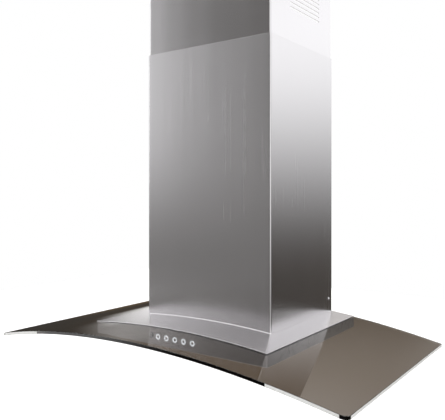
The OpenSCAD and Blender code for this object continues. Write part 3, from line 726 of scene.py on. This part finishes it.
def drill(piece, x, z, radius):
    """A round hole through the tray's front wall."""
    reach = 6 * MM
    profile = [(0, -reach), (radius, -reach), (radius, reach), (0, reach)]
    cut_with(piece, lathe("hole", profile, (x, TRAY_LOW[1], z)))


def drill_controls(piece):
    """The holes for the buttons, with a gap around each, and for the indicator window."""
    gap = 0.25 * MM
    for i in range(BUTTONS):
        low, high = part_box(f"button_{i + 1}")
        drill(piece, *middle(low, high), CAP_R + gap)
    low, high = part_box("indicator_window")
    drill(piece, *middle(low, high), (high[0] - low[0]) / 2)


def make_tray():
    """The shallow steel body under the glass, with bent corners and holes for the controls."""
    rise, low = TRAY_HIGH[2] - CROWN, TRAY_LOW[2]
    step, lower_bend = 24 * MM, 1.2 * MM
    mesh = arched_sheet("body_shell", tray_plan(0), 0, rise, step, low)
    bend_lower_edge(mesh, low, lower_bend)
    piece = new_piece("body_shell", mesh, STEEL_TRAY, "hood")
    cut_with(piece, arched_sheet("inner", tray_plan(SHEET_T), 0, rise - SHEET_T, step, low + SHEET_T))
    open_tray(piece)
    drill_controls(piece)
    shade_smooth(piece.data)
    round_edges(piece, 0.8 * MM, 3, 40)
    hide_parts("body_tray")


def button_profile(low, high):
    """(radius, depth) points from the middle of a button's face round its cap, flange and stem."""
    face, seat, end = -low[1], -TRAY_LOW[1] - SHEET_T, -high[1]
    axis = 1e-6
    ring_in = CAP_R - 2 * BEAD_R
    dome_r, dome_tall, groove = ring_in - 0.55 * MM, 0.7 * MM, 1.5 * MM
    dome_foot = face - 1.1 * MM
    flange_r, flange_t, stem_r = 7.3 * MM, 1 * MM, 2.3 * MM
    quarter = arc(0, 0, 1, 0, math.pi / 2, 6)
    profile = [(max(dome_r * across, axis), dome_foot + dome_tall * up) for up, across in quarter]
    profile.append((ring_in, face - groove))
    profile += arc(CAP_R - BEAD_R, face - BEAD_R, BEAD_R, math.pi, -math.pi, 8)
    profile += [(CAP_R, seat), (flange_r, seat), (flange_r, seat - flange_t)]
    return profile + [(stem_r, seat - flange_t), (stem_r, end), (axis, end)]


def make_button(i):
    """Chrome cap with a wide ring that carries a painted glow, a groove and a small domed centre, on its
    flange and stem.
    """
    low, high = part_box(f"button_{i + 1}")
    cx, cz = middle(low, high)
    mesh = lathe(f"button_cap_{i + 1}", button_profile(low, high), (cx, 0, cz))
    piece = new_piece(f"button_cap_{i + 1}", mesh, CHROME, f"push_button_{i + 1}")
    mesh.materials.append(GLOW_PAINTED_RING)
    for polygon in mesh.polygons:
        x, y, z = polygon.center
        from_axis = math.hypot(x - cx, z - cz)
        # The ring's faces take the material with the painted glow
        if from_axis > CAP_R - 2 * BEAD_R and y < low[1] + BEAD_R:
            polygon.material_index = 1
    normals = piece.modifiers.new("normals", "WEIGHTED_NORMAL")
    normals.keep_sharp = True
    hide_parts(f"button_{i + 1}")


make_tray()
for button in range(BUTTONS):
    make_button(button)
make_glass()
make_plate()
make_lower_cover()
make_foot_bead()
make_upper_cover()


# ---------------------------------------------------------------- light and floor

class Surround(Nodes):
    """The studio seen by reflections and by shade: soft cards placed by bearing and height."""

    def __init__(self):
        world = bpy.data.worlds.new("studio")
        bpy.context.scene.world = world
        world.use_nodes = True
        super().__init__(world.node_tree)
        self.tree.nodes.clear()
        direction = self.node("ShaderNodeTexCoord")
        split = self.node("ShaderNodeSeparateXYZ")
        self.link(direction.outputs["Generated"], split.inputs[0])
        self.height = split.outputs["Z"]
        turn = self.maths("ARCTAN2", split.outputs["X"], split.outputs["Y"])
        self.bearing = self.maths("MULTIPLY", turn, math.degrees(1))
        self.total = None

    def edge(self, value, start, end):
        """0 before start and 1 after end, smooth between; start may be the larger."""
        made = self.node("ShaderNodeMapRange", interpolation_type="SMOOTHSTEP")
        made.inputs["From Min"].default_value = start
        made.inputs["From Max"].default_value = end
        self.link(value, made.inputs["Value"])
        return made.outputs["Result"]

    def scaled(self, amount):
        """A node that scales a colour by an amount."""
        made = self.node("ShaderNodeVectorMath", operation="SCALE")
        self.link(amount, made.inputs["Scale"])
        return made

    def add(self, amount, colour):
        lit = self.scaled(amount)
        lit.inputs[0].default_value = colour
        if self.total is None:
            self.total = lit.outputs[0]
            return
        both = self.node("ShaderNodeVectorMath", operation="ADD")
        self.link(self.total, both.inputs[0])
        self.link(lit.outputs[0], both.inputs[1])
        self.total = both.outputs[0]

    def card(self, light, across, up, warm=0.0):
        """A soft card. across is four bearings in degrees and up four heights, each: start of the
        rise, end of the rise, start of the fall, end of the fall. Bearing 0 is +Y, 90 is +X and 180
        is -Y. Height is the direction's Z, from -1 to 1; values past those leave that side open."""
        amount = self.edge(self.height, up[0], up[1])
        amount = self.maths("MULTIPLY", amount, self.edge(self.height, up[3], up[2]))
        if across:
            amount = self.maths("MULTIPLY", amount, self.edge(self.bearing, across[0], across[1]))
            amount = self.maths("MULTIPLY", amount, self.edge(self.bearing, across[3], across[2]))
        self.add(amount, (light * (1 + warm), light, light * (1 - warm)))

    def finish(self):
        """The camera itself sees plain white, and light that reaches it by two bounces or more comes
        in dimmer. Where a path meets the world its ray depth is one more than its bounces."""
        threshold, dimming = 2.5, 0.2
        seen = self.node("ShaderNodeLightPath")
        repeated = self.maths("GREATER_THAN", seen.outputs["Ray Depth"], threshold)
        dimmed = self.scaled(self.maths("SUBTRACT", 1, self.maths("MULTIPLY", repeated, dimming)))
        self.link(self.total, dimmed.inputs[0])
        studio = self.node("ShaderNodeBackground")
        self.link(dimmed.outputs[0], studio.inputs["Color"])
        plain = self.node("ShaderNodeBackground")
        plain.inputs["Color"].default_value = (1, 1, 1, 1)
        choose = self.node("ShaderNodeMixShader")
        self.link(seen.outputs["Is Camera Ray"], choose.inputs[0])
        self.link(studio.outputs[0], choose.inputs[1])
        self.link(plain.outputs[0], choose.inputs[2])
        self.link(choose.outputs[0], self.node("ShaderNodeOutputWorld").inputs["Surface"])


def make_world():
    room = Surround()
    # Dim warm base all round, and the pale floor straight below
    room.card(0.05, None, (-3, -2, 2, 3), 0.12)
    room.card(1.0, None, (-3, -2, -0.85, -0.42))
    # Overhead light tent, dimmer at its very top
    room.card(2.3, None, (0.40, 0.84, 0.92, 0.99))
    room.card(0.75, None, (0.92, 0.99, 2, 3))
    # Behind the hood: a bright wall to the right, a high dimmer one to the left, and two low bands left
    room.card(1.42, (-14, 12, 75, 110), (-0.13, 0.27, 0.33, 0.5), -0.01)
    room.card(0.80, (-55, -30, -14, 12), (0.20, 0.56, 0.7, 0.9), 0.04)
    room.card(0.36, (-52, -46, -30, -14), (0.03, 0.09, 0.22, 0.30))
    room.card(1.6, (-50, -42, -30, -14), (-0.01, 0.03, 0.09, 0.13))
    # Olive-brown shade low behind the hood, which the glass wings show through them
    room.card(0.08, (-54, -42, 5, 20), (-0.5, -0.3, -0.12, -0.04), 0.6)
    # Softbox to the front left, with a narrow low one under it and faint light beside it
    room.card(2.75, (-139, -124, -112, -95), (-0.13, 0.16, 0.5, 0.8), -0.01)
    room.card(1.6, (-141, -129, -112, -95), (-0.42, -0.32, -0.235, -0.18))
    room.card(0.08, (-180.5, -180, -128, -110), (-0.3, 0.1, 0.5, 0.8))
    # Weaker softbox to the front right
    room.card(1.4, (95, 115, 150, 165), (-0.35, 0.1, 0.5, 0.8))
    # Faint fill over the rest of the front
    room.card(0.10, (-180.5, -180, -120, -100), (-0.32, -0.18, 0.0, 0.2))
    room.card(0.12, (100, 120, 180, 180.5), (-0.5, -0.25, 0.5, 0.8))
    room.finish()


def make_floor():
    """Pale kitchen floor far below the hood; polished and clear surfaces see the surround in its place."""
    reach, depth = 9.0, -1.75
    square = ((-1, -1), (1, -1), (1, 1), (-1, 1))
    mesh = mesh_from("floor", [(reach * x, reach * y, depth) for x, y in square], [(0, 1, 2, 3)])
    floor = bpy.data.objects.new("floor", mesh)
    bpy.context.scene.collection.objects.link(floor)
    s = Shader("floor_paint", Roughness=0.9)
    s.colour_from(s.mix_colour(s.noise((1, 1, 1), detail=4), (0.93, 0.93, 0.93), (0.95, 0.95, 0.95)))
    mesh.materials.append(s.material)
    floor.visible_glossy = False
    floor.visible_transmission = False


make_world()
make_floor()

bpy.context.scene.view_settings.view_transform = "Standard"
